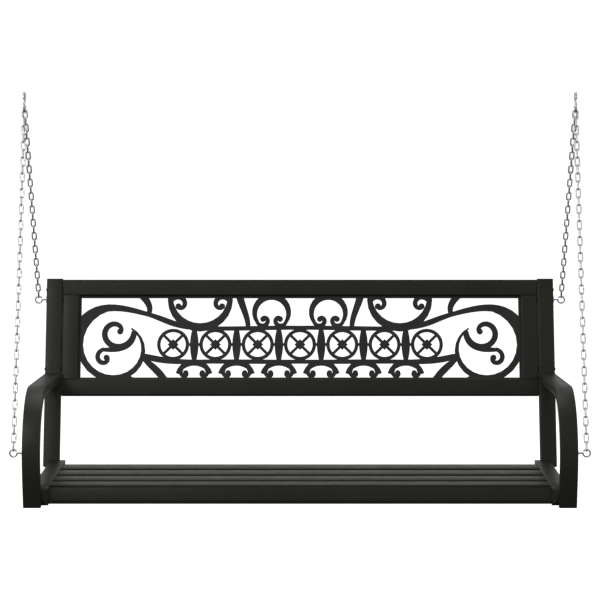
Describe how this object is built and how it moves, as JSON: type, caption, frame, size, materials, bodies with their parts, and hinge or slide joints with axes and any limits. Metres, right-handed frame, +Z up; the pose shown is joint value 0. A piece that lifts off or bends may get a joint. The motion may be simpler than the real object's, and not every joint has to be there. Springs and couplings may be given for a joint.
{
  "type": "porch swing",
  "caption": "Metal porch swing bench with slatted seat, pierced scroll back, curved arms and chains on S-hooks.",
  "frame": {"origin": "middle of the swing's bounding box in plan, at the level of the arms' feet", "axes": "+X along the seat towards the right seen from the front, -Y towards the front of the seat, +Z up"},
  "size_m": [1.3098, 0.6402, 0.9212],
  "materials": {
    "frame_black": "satin black powder coat",
    "panel_black": "matt black powder coat",
    "plastic_black": "fine grained moulding",
    "zinc": "bright zinc plating"
  },
  "bodies": {
    "hangers": {"left_hook": "zinc", "right_hook": "zinc"},
    "bench": {"left_post": "frame_black", "right_post": "frame_black", "post_caps": "plastic_black", "back_top_rail": "frame_black", "back_bottom_rail": "frame_black", "back_left_stile": "frame_black", "back_right_stile": "frame_black", "scroll_panel": "panel_black", "back_frame_screws": "frame_black", "frame_spacers": "plastic_black", "frame_nuts": "zinc", "left_arm": "frame_black", "right_arm": "frame_black", "arm_feet": "plastic_black", "arm_bolts": "zinc", "left_seat_rail": "frame_black", "right_seat_rail": "frame_black", "rail_screws": "frame_black", "front_slat": "frame_black", "seat_slat_1": "frame_black", "seat_slat_2": "frame_black", "seat_slat_3": "frame_black", "seat_slat_4": "frame_black", "seat_brace": "frame_black", "front_left_eye_bolt": "zinc", "front_right_eye_bolt": "zinc", "rear_left_eye_bolt": "zinc", "rear_right_eye_bolt": "zinc", "eye_bolt_washers": "zinc", "eye_bolt_nuts": "zinc", "left_top_links": "zinc", "right_top_links": "zinc", "front_left_chain": "zinc", "front_right_chain": "zinc", "rear_left_chain": "zinc", "rear_right_chain": "zinc"}
  },
  "joints": [
    {"name": "swing", "type": "hinge", "parent": "hangers", "child": "bench", "pos_m": [0, 0.0271, 0.88503], "axis": [1, 0, 0], "range_deg": [-30, 30]}
  ]
}
